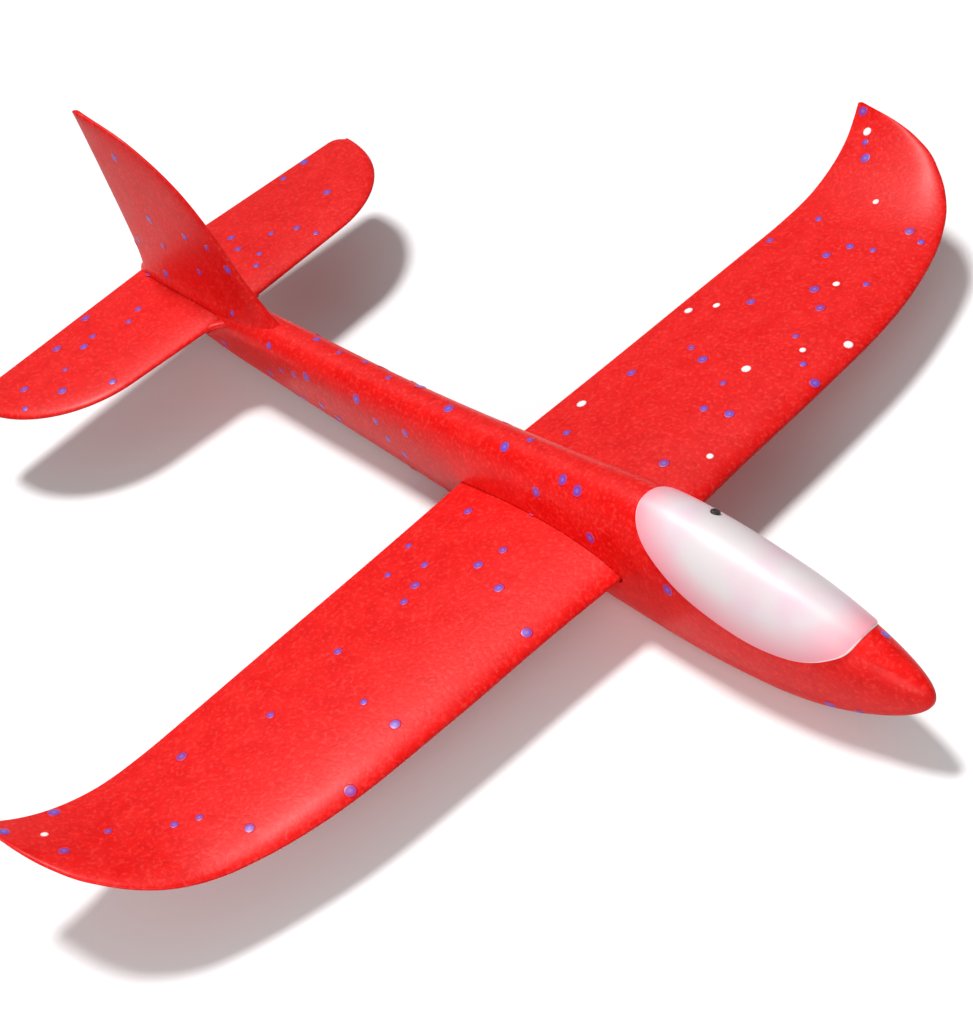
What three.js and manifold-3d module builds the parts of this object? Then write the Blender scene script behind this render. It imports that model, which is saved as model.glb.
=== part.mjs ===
// A moulded foam hand-launch glider, in millimetres.
// +X points to the nose, +Y to the left wing tip and +Z up. The origin is on the flat of the belly,
// straight below the balance point, so the glider stands on the plane z = 0.
// The fuselage with its fin is one moulding. The wing and the tailplane are one-piece mouldings that
// are pushed sideways through their own slots in it. A canopy of milky plastic sheet covers the
// cockpit, a push pin holds it, and a steel slug in a pocket ahead of the cockpit trims the balance.
import * as THREE from "three";
import { mergeVertices } from "three/addons/utils/BufferGeometryUtils.js";
import Module from "manifold-3d";

const wasm = await Module();
wasm.setup();

// Overall sizes
const HALF_SPAN = 240;
const NOSE_X = 158;
const TAIL_END_X = -300;
const THROUGH = 400; // more than the glider's width or height at any slot or trim
const LEAST_SIZE = 0.05; // half width or height that a section keeps at the very tip of the nose
const WELD = 1e-3; // vertices closer than this are one
const SLOT_GAP = 0.35; // clearance round the wing and the tailplane in their slots

// Fuselage, as curves along X: [x, size]
const CENTRE_HEIGHT = [
  [-300, 35], [-190, 33], [-80, 28], [20, 25], [110, 25], [158, 28.5],
];
const CROWN_RISE = [
  [-300, 8], [-240, 10], [-190, 12], [-110, 18], [-20, 28], [45, 34.5],
  [100, 27.5], [158, 16.5],
];
const BELLY_DROP = [
  [-300, 11], [-240, 19], [-190, 23], [-110, 26], [-50, 27.2], [0, 26.6],
  [60, 26.4], [110, 25], [158, 20.5],
];
const HALF_WIDTH = [
  [-300, 3], [-240, 8.5], [-190, 10], [-110, 11], [-40, 13], [30, 17],
  [70, 17.8], [115, 15], [158, 11.5],
];
const NOSE_CAP_LENGTH = 66; // the stretch over which the nose rounds off
const NOSE_CAP_POWER = 2.1;
const SECTION_POWER = 2.3; // 2 is an ellipse, more is squarer
const FUSELAGE_RINGS = 46;
const RING_SPACING_POWER = 0.92; // 1 spaces the rings along a quarter sine, less packs them at the nose
const RING_POINTS = 36;

// Fin, as curves up its height: [x, z] from the root to the tip
const FIN_LEADING = [
  [-186, 40], [-204, 62], [-216, 84], [-234, 104], [-262, 118], [-294, 124],
];
const FIN_TRAILING = [
  [-292, 34], [-293, 60], [-296, 92], [-299.5, 123.5],
];
const FIN_ROOT_THICKNESS = 8;
const FIN_TIP_THICKNESS = 2.4;
const FIN_EDGE_SHARE = 0.16; // thickness of the fin's edges, as a share of its middle
const FIN_LEVELS = 18;
const FIN_FACE_POINTS = 9;

// Wing, by distance from the middle: [y, size]
const WING_Z = 24; // underside of its flat middle
const WING_LEADING = [
  [0, 30], [50, 27], [100, 25.5], [150, 22], [180, 15.5], [200, 8.5],
  [214, 0.5], [225, -11], [233, -25], [238, -44], [240, -61],
];
const WING_TRAILING = [
  [0, -65], [60, -63.5], [150, -62], [200, -60.5], [225, -61.5], [240, -65],
];
const WING_RISE = [
  [0, 0], [125, 0], [160, 0.2], [180, 1], [200, 3.5], [215, 8.5],
  [228, 15], [236, 20], [240, 23],
];
const WING_THICKNESS = [
  [0, 9], [100, 8], [180, 6], [225, 4], [240, 2.2],
];
const WING_STATIONS = 22; // stations on each side

// Tailplane, by distance from the middle
const TAIL_Z = 37;
const TAIL_HALF_SPAN = 112;
const TAIL_OFFSET = 6; // it is pushed in a little to the left of the middle
const TAIL_LEADING_ROOT = -225;
const TAIL_LEADING_SLOPE = 0.06;
const TAIL_TRAILING_ROOT = -296;
const TAIL_TRAILING_SLOPE = 0.05;
const TAIL_LEADING_TIP = 50; // length of the curve that brings the leading edge back to the tip
const TAIL_LEADING_TIP_BACK = 50; // how far back it comes
const TAIL_TRAILING_TIP = 6; // radius of the rear corner
const TAIL_THICKNESS = 5.4;
const TAIL_TIP_THICKNESS = 2.8;
const TAIL_STATIONS = 15;

// Sections of the wing and the tailplane
const SECTION_POINTS = 11; // points along each face
const EDGE_THICKNESS = 1.2; // left at the trailing edge
const THICKEST_AT = 0.3; // share of the chord
const EDGE_LEVEL = 0.35; // height of the leading edge, as a share of the thickness
const LEADING_ROUND = 0.8; // length of the round under the leading edge, in thicknesses
const AFT_POWER = 1.7; // how full the section stays behind its thickest point

// Canopy: the side view of its rim from rear to front, [x, z]
const CANOPY_RIM = [
  [31, 66], [35, 59], [42, 51], [51, 44.7], [62, 39], [75, 34.8],
  [90, 31.6], [103, 31.2], [114, 33], [124, 37.5], [130, 42], [133, 50],
];
const CANOPY_RIM_STEPS = 28;
const CANOPY_TOP = 90; // a level above the whole canopy
const CANOPY_SHEET = 0.8;
const CANOPY_GAP = 0.3;

// Cockpit well, with the ballast pocket in its front wall
const COCKPIT_FROM = 76;
const COCKPIT_TO = 116;
const COCKPIT_WIDTH = 16;
const COCKPIT_FLOOR = 21.5;
const POCKET_FROM = 114; // inside the well, which the pocket opens into
const SLUG_RADIUS = 5;
const SLUG_FROM = 117;
const SLUG_TO = 135;
const SLUG_Z = 27;

// Push pin of the canopy
const PIN_X = 60;
const PIN_Y = 7.5;
const PIN_HEAD_RADIUS = 1.9;
const PIN_HEAD_HEIGHT = 1.1;
const PIN_HEAD_TOP = 0.8; // radius of its flat top, as a share of the head's
const PIN_LIFT = 0.6; // clearance under the head
const PIN_SHANK_RADIUS = 0.8;
const PIN_LENGTH = 9;
const PIN_SIDES = 24;

// A smooth curve through [x, value] points, held at its end values outside them.
function curve(points) {
  const sorted = [...points].sort((a, b) => a[0] - b[0]);
  const at = sorted.map((p) => p[0]);
  const values = sorted.map((p) => p[1]);
  const spline = new THREE.CubicInterpolant(at, values, 1);
  return (x) => spline.evaluate(THREE.MathUtils.clamp(x, at[0], at[at.length - 1]))[0];
}

// A closed surface through equal rings of points, each ring running anticlockwise seen from its end.
function skin(rings) {
  const size = rings[0].length;
  const positions = [];
  for (const ring of rings) {
    for (const p of ring) positions.push(p.x, p.y, p.z);
  }
  const index = [];
  for (let i = 0; i + 1 < rings.length; i++) {
    for (let j = 0; j < size; j++) {
      const a = i * size + j;
      const b = i * size + ((j + 1) % size);
      index.push(a, b, b + size, a, b + size, a + size);
    }
  }
  const last = (rings.length - 1) * size;
  for (const [first, flip] of [[0, true], [last, false]]) {
    const centre = positions.length / 3;
    const middle = new THREE.Vector3();
    for (let j = 0; j < size; j++) middle.add(rings[first / size][j]);
    middle.divideScalar(size);
    positions.push(middle.x, middle.y, middle.z);
    for (let j = 0; j < size; j++) {
      const a = first + j;
      const b = first + ((j + 1) % size);
      index.push(centre, flip ? b : a, flip ? a : b);
    }
  }
  const geometry = new THREE.BufferGeometry();
  geometry.setAttribute("position", new THREE.Float32BufferAttribute(positions, 3));
  geometry.setIndex(index);
  return geometry;
}

// three.js geometry to a manifold-3d solid, and back.
function solid(geometry) {
  const bare = new THREE.BufferGeometry();
  const source = geometry.index ? geometry.toNonIndexed() : geometry;
  bare.setAttribute("position", source.getAttribute("position"));
  const merged = mergeVertices(bare, WELD);
  return new wasm.Manifold(
    new wasm.Mesh({
      numProp: 3,
      vertProperties: merged.attributes.position.array,
      triVerts: new Uint32Array(merged.index.array),
    }),
  );
}

function geometryOf(manifold) {
  const mesh = manifold.getMesh();
  const geometry = new THREE.BufferGeometry();
  const positions = new Float32Array(mesh.vertProperties);
  geometry.setAttribute("position", new THREE.BufferAttribute(positions, 3));
  geometry.setIndex(new THREE.BufferAttribute(new Uint32Array(mesh.triVerts), 1));
  geometry.computeVertexNormals();
  return geometry;
}

const centreHeight = curve(CENTRE_HEIGHT);
const crownRise = curve(CROWN_RISE);
const bellyDrop = curve(BELLY_DROP);
const halfWidth = curve(HALF_WIDTH);

// How far the section has closed in towards the tip of the nose: 1 behind the cap, 0 at the tip.
function noseCap(x) {
  const into = Math.max(0, (x - (NOSE_X - NOSE_CAP_LENGTH)) / NOSE_CAP_LENGTH);
  return Math.sqrt(Math.max(0, 1 - into ** NOSE_CAP_POWER));
}

// A point of the fuselage's skin, moved in by a margin. The turn starts at the left side, over the top.
function skinPoint(x, turn, margin) {
  const power = 2 / SECTION_POWER;
  const across = Math.cos(turn);
  const up = Math.sin(turn);
  const tall = up > 0 ? crownRise(x) : bellyDrop(x);
  const halfAcross = Math.max(LEAST_SIZE, halfWidth(x) * noseCap(x) - margin);
  const reach = Math.max(LEAST_SIZE, tall * noseCap(x) - margin);
  const y = Math.sign(across) * Math.abs(across) ** power * halfAcross;
  const z = centreHeight(x) + Math.sign(up) * Math.abs(up) ** power * reach;
  return new THREE.Vector3(x, y, z);
}

// Stations along the fuselage, closer together as the nose rounds off.
function fuselageStations() {
  const stations = [];
  for (let i = 0; i <= FUSELAGE_RINGS; i++) {
    const t = i / FUSELAGE_RINGS;
    const share = Math.sin((t * Math.PI) / 2) ** RING_SPACING_POWER;
    stations.push(TAIL_END_X + (NOSE_X - TAIL_END_X) * share);
  }
  return stations;
}

function fuselageShell(margin) {
  const turns = Array.from({ length: RING_POINTS }, (_, j) => (j / RING_POINTS) * 2 * Math.PI);
  return solid(skin(fuselageStations().map((x) => turns.map((turn) => skinPoint(x, turn, margin)))));
}

function finSolid() {
  const leading = new THREE.CatmullRomCurve3(FIN_LEADING.map(([x, z]) => new THREE.Vector3(x, 0, z)));
  const trailing = new THREE.CatmullRomCurve3(FIN_TRAILING.map(([x, z]) => new THREE.Vector3(x, 0, z)));
  const rings = [];
  for (let i = 0; i <= FIN_LEVELS; i++) {
    const t = i / FIN_LEVELS;
    const front = leading.getPoint(t);
    const back = trailing.getPoint(t);
    const thickness = THREE.MathUtils.lerp(FIN_ROOT_THICKNESS, FIN_TIP_THICKNESS, t);
    rings.push(bladeRing(front, back, thickness));
  }
  return solid(skin(rings));
}

// A lens-shaped ring between two edge points: widest near the front, blunt at the back.
function bladeRing(front, back, thickness) {
  const ring = [];
  for (const side of [1, -1]) {
    for (let k = 0; k < FIN_FACE_POINTS; k++) {
      const t = side > 0 ? k / FIN_FACE_POINTS : 1 - k / FIN_FACE_POINTS;
      const along = front.clone().lerp(back, (1 - Math.cos(t * Math.PI)) / 2);
      const half = (thickness / 2) * THREE.MathUtils.lerp(FIN_EDGE_SHARE, 1, Math.sin(Math.PI * t));
      ring.push(new THREE.Vector3(along.x, side * half, along.z));
    }
  }
  return ring;
}

// How high a section's top and bottom stand at a share of the chord behind the leading edge.
function sectionTop(share, thickness) {
  if (share < THICKEST_AT) {
    const ahead = 1 - share / THICKEST_AT;
    return thickness * (EDGE_LEVEL + (1 - EDGE_LEVEL) * Math.sqrt(1 - ahead * ahead));
  }
  const behind = (share - THICKEST_AT) / (1 - THICKEST_AT);
  return thickness - (thickness - Math.min(EDGE_THICKNESS, thickness)) * behind ** AFT_POWER;
}

function sectionBottom(share, chord, thickness) {
  const ahead = 1 - Math.min(1, (share * chord) / (LEADING_ROUND * thickness));
  return thickness * EDGE_LEVEL * (1 - Math.sqrt(1 - ahead * ahead));
}

// The outline of a wing section: from the trailing edge over the top to the leading edge and back below.
function sectionOutline(lead, trail, thickness) {
  const chord = lead - trail;
  const shareAt = (k) => 0.5 + 0.5 * Math.cos((k / SECTION_POINTS) * Math.PI);
  const outline = [];
  for (let k = 0; k <= SECTION_POINTS; k++) {
    const share = shareAt(k);
    outline.push(new THREE.Vector2(lead - share * chord, sectionTop(share, thickness)));
  }
  for (let k = SECTION_POINTS - 1; k >= 0; k--) {
    const share = shareAt(k);
    outline.push(new THREE.Vector2(lead - share * chord, sectionBottom(share, chord, thickness)));
  }
  return outline;
}

// An outline moved outwards by a clearance.
function grown(outline, clearance) {
  return outline.map((p, i) => {
    const before = outline[(i + outline.length - 1) % outline.length];
    const after = outline[(i + 1) % outline.length];
    const along = after.clone().sub(before).normalize();
    return new THREE.Vector2(p.x - along.y * clearance, p.y + along.x * clearance);
  });
}

// A prism across the glider with the side view of an outline.
function prism(outline) {
  const options = { depth: THROUGH, bevelEnabled: false };
  const geometry = new THREE.ExtrudeGeometry(new THREE.Shape(outline), options);
  geometry.rotateX(Math.PI / 2);
  geometry.translate(0, THROUGH / 2, 0);
  return solid(geometry);
}

const wingLeading = curve(WING_LEADING);
const wingTrailing = curve(WING_TRAILING);
const wingRise = curve(WING_RISE);
const wingThickness = curve(WING_THICKNESS);

// The outline of a wing section at a distance from the middle.
function wingOutline(y) {
  const out = Math.abs(y);
  return sectionOutline(wingLeading(out), wingTrailing(out), wingThickness(out));
}

function wingGeometry() {
  const rings = [];
  for (let i = -WING_STATIONS; i <= WING_STATIONS; i++) {
    const y = HALF_SPAN * Math.sin((i / WING_STATIONS) * (Math.PI / 2));
    const rise = wingRise(Math.abs(y));
    rings.push(wingOutline(y).map((p) => new THREE.Vector3(p.x, y, rise + p.y)));
  }
  return skin(rings);
}

// How far an elliptical corner at the tailplane's tip has turned in: 0 where it starts, 1 at the tip.
function tipTurn(out, length) {
  const into = THREE.MathUtils.clamp((out - (TAIL_HALF_SPAN - length)) / length, 0, 1);
  return 1 - Math.sqrt(1 - into * into);
}

// The outline of a tailplane section. Its leading edge sweeps back to the tip in a long curve, and a
// short one rounds off the rear corner.
function tailOutline(y) {
  const out = Math.abs(y);
  const leadingTurn = tipTurn(out, TAIL_LEADING_TIP);
  const trailingTurn = tipTurn(out, TAIL_TRAILING_TIP);
  const lead = TAIL_LEADING_ROOT - TAIL_LEADING_SLOPE * out - TAIL_LEADING_TIP_BACK * leadingTurn;
  const trail = TAIL_TRAILING_ROOT + TAIL_TRAILING_SLOPE * out + TAIL_TRAILING_TIP * trailingTurn;
  const thickness = THREE.MathUtils.lerp(TAIL_THICKNESS, TAIL_TIP_THICKNESS, out / TAIL_HALF_SPAN);
  return sectionOutline(lead, trail, thickness);
}

function tailplaneGeometry() {
  const rings = [];
  for (let i = -TAIL_STATIONS; i <= TAIL_STATIONS; i++) {
    const y = TAIL_HALF_SPAN * Math.sin((i / TAIL_STATIONS) * (Math.PI / 2));
    rings.push(tailOutline(y).map((p) => new THREE.Vector3(p.x, y, p.y)));
  }
  return skin(rings);
}

// The side view of the canopy, let out by a margin.
function canopyOutline(margin) {
  const rim = new THREE.SplineCurve(CANOPY_RIM.map(([x, z]) => new THREE.Vector2(x, z)));
  const below = rim.getPoints(CANOPY_RIM_STEPS).reverse();
  const rearTop = new THREE.Vector2(CANOPY_RIM[0][0], CANOPY_TOP);
  const frontTop = new THREE.Vector2(CANOPY_RIM.at(-1)[0], CANOPY_TOP);
  return grown([rearTop, frontTop, ...below], margin);
}

// A round bar along X.
function barAlongX(radius, from, to, z) {
  const geometry = new THREE.CylinderGeometry(radius, radius, to - from, PIN_SIDES);
  geometry.rotateZ(Math.PI / 2);
  geometry.translate((from + to) / 2, 0, z);
  return geometry;
}

// The push pin, let out by a clearance, standing on the canopy square to its surface.
function pinGeometry(clearance) {
  const head = PIN_HEAD_RADIUS + clearance;
  const shank = PIN_SHANK_RADIUS + clearance;
  const profile = [
    new THREE.Vector2(0, -PIN_LENGTH - clearance),
    new THREE.Vector2(shank, shank - PIN_LENGTH - clearance),
    new THREE.Vector2(shank, -clearance),
    new THREE.Vector2(head, -clearance),
    new THREE.Vector2(head * PIN_HEAD_TOP, PIN_HEAD_HEIGHT),
    new THREE.Vector2(0, PIN_HEAD_HEIGHT),
  ];
  return new THREE.LatheGeometry(profile, PIN_SIDES).applyMatrix4(pinPlace());
}

// The pin's place: its own +Y stands square to the canopy's surface.
function pinPlace() {
  const foot = new THREE.Vector3(PIN_X, PIN_Y, crownAt(PIN_X, PIN_Y));
  const inward = new THREE.Vector3(PIN_X, PIN_Y - 1, crownAt(PIN_X, PIN_Y - 1));
  const forward = new THREE.Vector3(PIN_X + 1, PIN_Y, crownAt(PIN_X + 1, PIN_Y));
  const outwards = forward.sub(foot).cross(foot.clone().sub(inward)).normalize();
  const turn = new THREE.Quaternion().setFromUnitVectors(new THREE.Vector3(0, 1, 0), outwards);
  const place = foot.addScaledVector(outwards, PIN_LIFT);
  return new THREE.Matrix4().compose(place, turn, new THREE.Vector3(1, 1, 1));
}

// The height of the fuselage's upper skin at a point in plan.
function crownAt(x, y) {
  const width = halfWidth(x) * noseCap(x);
  const share = (1 - (Math.abs(y) / width) ** SECTION_POWER) ** (1 / SECTION_POWER);
  return centreHeight(x) + crownRise(x) * noseCap(x) * share;
}

// The canopy is the part of the fuselage's skin inside its rim, one sheet thick.
function canopySolid() {
  return fuselageShell(0)
    .subtract(fuselageShell(CANOPY_SHEET))
    .intersect(prism(canopyOutline(0)))
    .subtract(solid(pinGeometry(CANOPY_GAP)));
}

// The cuts that the fuselage's moulding is made with.
function canopySeat() {
  return fuselageShell(-CANOPY_SHEET)
    .subtract(fuselageShell(CANOPY_SHEET + CANOPY_GAP))
    .intersect(prism(canopyOutline(CANOPY_GAP)));
}

function cockpitWell() {
  const well = new THREE.BoxGeometry(COCKPIT_TO - COCKPIT_FROM, COCKPIT_WIDTH, THROUGH);
  well.translate((COCKPIT_FROM + COCKPIT_TO) / 2, 0, COCKPIT_FLOOR + THROUGH / 2);
  return solid(well);
}

function belowBelly() {
  const ground = new THREE.BoxGeometry(2 * THROUGH, THROUGH, THROUGH);
  ground.translate(0, 0, -THROUGH / 2);
  return solid(ground);
}

function fuselageSolid() {
  const wingSlot = prism(grown(wingOutline(0), SLOT_GAP)).translate([0, 0, WING_Z]);
  const tailSlot = prism(grown(tailOutline(0), SLOT_GAP)).translate([0, 0, TAIL_Z]);
  const pocket = barAlongX(SLUG_RADIUS + SLOT_GAP, POCKET_FROM, SLUG_TO + SLOT_GAP, SLUG_Z);
  const cuts = [belowBelly(), wingSlot, tailSlot, canopySeat(), cockpitWell(), solid(pocket)];
  cuts.push(solid(pinGeometry(CANOPY_GAP)));
  return cuts.reduce((body, cut) => body.subtract(cut), fuselageShell(0).add(finSolid()));
}

// Colours and finishes
const redFoam = finish(0xf02a26, 0.62, 0);
const milkySheet = finish(0xf4e9ec, 0.25, 0);
const blackPlastic = finish(0x141416, 0.4, 0);
const bareSteel = finish(0x9a9ea3, 0.35, 1);

function finish(color, roughness, metalness) {
  return new THREE.MeshStandardMaterial({ color, roughness, metalness });
}

function piece(name, geometry, material, height = 0, offset = 0) {
  const mesh = new THREE.Mesh(geometry, material);
  mesh.name = name;
  mesh.position.set(0, offset, height);
  return mesh;
}

const glider = new THREE.Group();
glider.add(
  piece("fuselage", geometryOf(fuselageSolid()), redFoam),
  piece("wing", wingGeometry(), redFoam, WING_Z),
  piece("tailplane", tailplaneGeometry(), redFoam, TAIL_Z, TAIL_OFFSET),
  piece("canopy", geometryOf(canopySolid()), milkySheet),
  piece("canopy_pin", pinGeometry(0), blackPlastic),
  piece("nose_weight", barAlongX(SLUG_RADIUS, SLUG_FROM, SLUG_TO, SLUG_Z), bareSteel),
);

export default glider;
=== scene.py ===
import math

import bmesh
import bpy
from mathutils import Matrix, Vector


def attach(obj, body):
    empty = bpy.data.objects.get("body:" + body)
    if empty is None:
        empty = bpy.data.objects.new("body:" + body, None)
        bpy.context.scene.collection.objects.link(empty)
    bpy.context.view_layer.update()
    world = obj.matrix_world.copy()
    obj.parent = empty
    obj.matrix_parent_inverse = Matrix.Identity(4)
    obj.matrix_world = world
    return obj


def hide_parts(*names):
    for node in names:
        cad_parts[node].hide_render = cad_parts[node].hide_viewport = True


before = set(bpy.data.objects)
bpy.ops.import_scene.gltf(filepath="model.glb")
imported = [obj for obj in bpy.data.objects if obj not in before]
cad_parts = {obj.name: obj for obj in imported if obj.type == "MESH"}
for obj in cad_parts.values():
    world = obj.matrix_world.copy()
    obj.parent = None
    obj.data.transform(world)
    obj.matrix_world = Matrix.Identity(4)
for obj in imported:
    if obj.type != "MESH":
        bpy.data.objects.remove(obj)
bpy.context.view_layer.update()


# --- Fuselage and fin --------------------------------------------------------------------------
# One moulding of red bead foam: a round nose, a slim boom and a fin that grows out of it in a
# soft fillet. The slots for the wing and the tailplane, the canopy's seat, the cockpit well and
# the ballast pocket are part of the mould, and a flat strip under the belly lets it stand.
MM = 0.001
NOSE_X = 158
TAIL_END_X = -300
CENTRE_HEIGHT = [(-300, 35), (-190, 33), (-80, 28), (20, 25), (110, 25), (158, 28.5)]
CROWN_RISE = [
    (-300, 8), (-240, 10), (-190, 12), (-110, 18),
    (-20, 28), (45, 34.5), (100, 27.5), (158, 16.5),
]
BELLY_DROP = [
    (-300, 11), (-240, 19), (-190, 23), (-110, 26), (-50, 27.2),
    (0, 26.6), (60, 26.4), (110, 25), (158, 20.5),
]
HALF_WIDTH = [
    (-300, 3), (-240, 8.5), (-190, 10), (-110, 11), (-40, 13),
    (30, 17), (70, 17.8), (115, 15), (158, 11.5),
]
NOSE_CAP_LENGTH = 66
NOSE_CAP_POWER = 2.1
SECTION_POWER = 2.3
LEAST_SIZE = 0.05
FUSELAGE_RINGS = 230
RING_POINTS = 112
RING_SPACING_POWER = 0.92
TAIL_ROUND = 14  # length over which the boom's end rounds off
TAIL_END_SHARE = 0.15  # size of the very end, as a share

FIN_LEADING = [(-186, 40), (-204, 62), (-216, 84), (-234, 104), (-262, 118), (-294, 124)]
FIN_TRAILING = [(-292, 34), (-293, 60), (-296, 92), (-299.5, 123.5)]
FIN_ROOT_THICKNESS = 8
FIN_TIP_THICKNESS = 2.4
FIN_EDGE_SHARE = 0.16
FIN_LEVELS = 70
FIN_FACE_POINTS = 36
FILLET_SIZE = 3.2  # extra half thickness where the fin meets the boom
FILLET_HEIGHT = 5.5  # height over which the fillet fades

THROUGH = 400
SLOT_GAP = 0.35
CANOPY_SHEET = 0.8
CANOPY_GAP = 0.3
CANOPY_TOP = 90
CANOPY_RIM = [
    (31, 66), (35, 59), (42, 51), (51, 44.7), (62, 39), (75, 34.8),
    (90, 31.6), (103, 31.2), (114, 33), (124, 37.5), (130, 42), (133, 50),
]
RIM_STEPS = 90
COCKPIT_FROM, COCKPIT_TO = 76, 116
COCKPIT_WIDTH = 16
COCKPIT_FLOOR = 21.5
POCKET_FROM = 114
SLUG_RADIUS = 5
SLUG_FROM, SLUG_TO = 117, 135
SLUG_Z = 27
CREASE_ANGLE = math.radians(38)
WELD = 0.005


def curve(points):
    """A smooth curve through (x, value) points, held at its end values."""
    at = [p[0] for p in points]
    values = [p[1] for p in points]

    def value(x):
        x = min(max(x, at[0]), at[-1])
        i = next((k for k in range(len(at) - 1) if x <= at[k + 1]), len(at) - 2)
        t0, t1, v0, v1 = at[i], at[i + 1], values[i], values[i + 1]
        half = (t1 - t0) / 2
        before, vb = (at[i - 1], values[i - 1]) if i > 0 else (t1, v1)
        after, va = (at[i + 2], values[i + 2]) if i + 2 < len(at) else (t0, v0)
        wb, wa = half / (t0 - before), half / (after - t1)
        p = (x - t0) / (t1 - t0)
        pp, ppp = p * p, p * p * p
        return (
            (-wb * ppp + 2 * wb * pp - wb * p) * vb
            + ((1 + wb) * ppp + (-1.5 - 2 * wb) * pp + (-0.5 + wb) * p + 1) * v0
            + ((-1 - wa) * ppp + (1.5 + wa) * pp + 0.5 * p) * v1
            + (wa * ppp - wa * pp) * va
        )

    return value


def path_through(points, steps):
    """Points along a smooth path through (x, z) points."""
    n = len(points)
    path = []
    for k in range(steps + 1):
        place = k / steps * (n - 1)
        i = min(int(place), n - 2)
        t = place - i
        a, b = Vector(points[max(i - 1, 0)]), Vector(points[i])
        c, d = Vector(points[i + 1]), Vector(points[min(i + 2, n - 1)])
        path.append(
            0.5 * (2 * b + (c - a) * t + (2 * a - 5 * b + 4 * c - d) * t**2
                   + (3 * b - a - 3 * c + d) * t**3)
        )
    return path


centre_height = curve(CENTRE_HEIGHT)
crown_rise = curve(CROWN_RISE)
belly_drop = curve(BELLY_DROP)
half_width = curve(HALF_WIDTH)


def nose_cap(x):
    """How far the section has closed in: 1 behind the nose, 0 at its tip."""
    into = max(0, (x - (NOSE_X - NOSE_CAP_LENGTH)) / NOSE_CAP_LENGTH)
    return math.sqrt(max(0, 1 - into**NOSE_CAP_POWER))


def tail_cap(x):
    """How far the boom's end has rounded off: 1 ahead of it."""
    into = max(0, (TAIL_END_X + TAIL_ROUND - x) / TAIL_ROUND)
    return TAIL_END_SHARE + (1 - TAIL_END_SHARE) * math.sqrt(max(0, 1 - into**2))


def skin_point(x, turn, margin=0):
    """A point of the fuselage's skin, moved in by a margin; the turn starts at the left side."""
    power = 2 / SECTION_POWER
    across, up = math.cos(turn), math.sin(turn)
    tall = crown_rise(x) if up > 0 else belly_drop(x)
    wide = max(LEAST_SIZE, half_width(x) * nose_cap(x) * tail_cap(x) - margin)
    reach = max(LEAST_SIZE, tall * nose_cap(x) * tail_cap(x) - margin)
    y = math.copysign(abs(across) ** power, across) * wide
    z = centre_height(x) + math.copysign(abs(up) ** power, up) * reach
    return Vector((x, y, z))


def lofted(name, rings):
    """A closed mesh through equal rings of points in millimetres, faces outwards."""
    size = len(rings[0])
    points = [p * MM for ring in rings for p in ring]
    faces = [
        (i * size + j, i * size + (j + 1) % size,
         (i + 1) * size + (j + 1) % size, (i + 1) * size + j)
        for i in range(len(rings) - 1) for j in range(size)
    ]
    for first in (0, (len(rings) - 1) * size):
        points.append(sum(points[first:first + size], Vector()) / size)
        faces += [(first + j, first + (j + 1) % size, len(points) - 1) for j in range(size)]
    mesh = bpy.data.meshes.new(name)
    mesh.from_pydata(points, [], faces)
    return placed(name, turned_out(mesh))


def turned_out(mesh):
    """The mesh with its faces turned outwards."""
    work = bmesh.new()
    work.from_mesh(mesh)
    bmesh.ops.remove_doubles(work, verts=work.verts, dist=WELD * MM)
    bmesh.ops.recalc_face_normals(work, faces=work.faces)
    work.to_mesh(mesh)
    work.free()
    return mesh


def placed(name, mesh):
    thing = bpy.data.objects.new(name, mesh)
    bpy.context.collection.objects.link(thing)
    return thing


def prism(name, outline):
    """A prism across the glider with a side view of (x, z) points."""
    half = THROUGH / 2
    return lofted(name, [[Vector((x, y, z)) for x, z in outline] for y in (-half, half)])


def block(name, low, high):
    corners = [(low[0], low[2]), (high[0], low[2]), (high[0], high[2]), (low[0], high[2])]
    return lofted(name, [[Vector((x, y, z)) for x, z in corners] for y in (low[1], high[1])])


def bar_along_x(name, radius, start, end, z, sides=48):
    def ring(x):
        turns = [k / sides * math.tau for k in range(sides)]
        return [Vector((x, radius * math.cos(t), z + radius * math.sin(t))) for t in turns]
    return lofted(name, [ring(start), ring(end)])


def cut(thing, tool, how="DIFFERENCE"):
    """One cut, join or overlap, worked out and kept; the tool is used up."""
    step = thing.modifiers.new("cut", "BOOLEAN")
    step.operation = how
    step.solver = "MANIFOLD"
    step.object = tool
    bpy.context.view_layer.update()
    seen = thing.evaluated_get(bpy.context.evaluated_depsgraph_get())
    mesh = bpy.data.meshes.new_from_object(seen)
    thing.modifiers.clear()
    thing.data = mesh
    bpy.data.objects.remove(tool)


def smooth(thing):
    """Smooth shading but for the creases, with the cutting tools' empty materials cleared."""
    thing.data.materials.clear()
    thing.data.polygons.foreach_set("material_index", [0] * len(thing.data.polygons))
    thing.data.shade_smooth()
    thing.data.set_sharp_from_angle(angle=CREASE_ANGLE)


def fuselage_shell(name, margin):
    rings = []
    for i in range(FUSELAGE_RINGS + 1):
        share = math.sin(i / FUSELAGE_RINGS * math.pi / 2) ** RING_SPACING_POWER
        x = TAIL_END_X + (NOSE_X - TAIL_END_X) * share
        turns = [j / RING_POINTS * math.tau for j in range(RING_POINTS)]
        rings.append([skin_point(x, turn, margin) for turn in turns])
    return lofted(name, rings)


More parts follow.
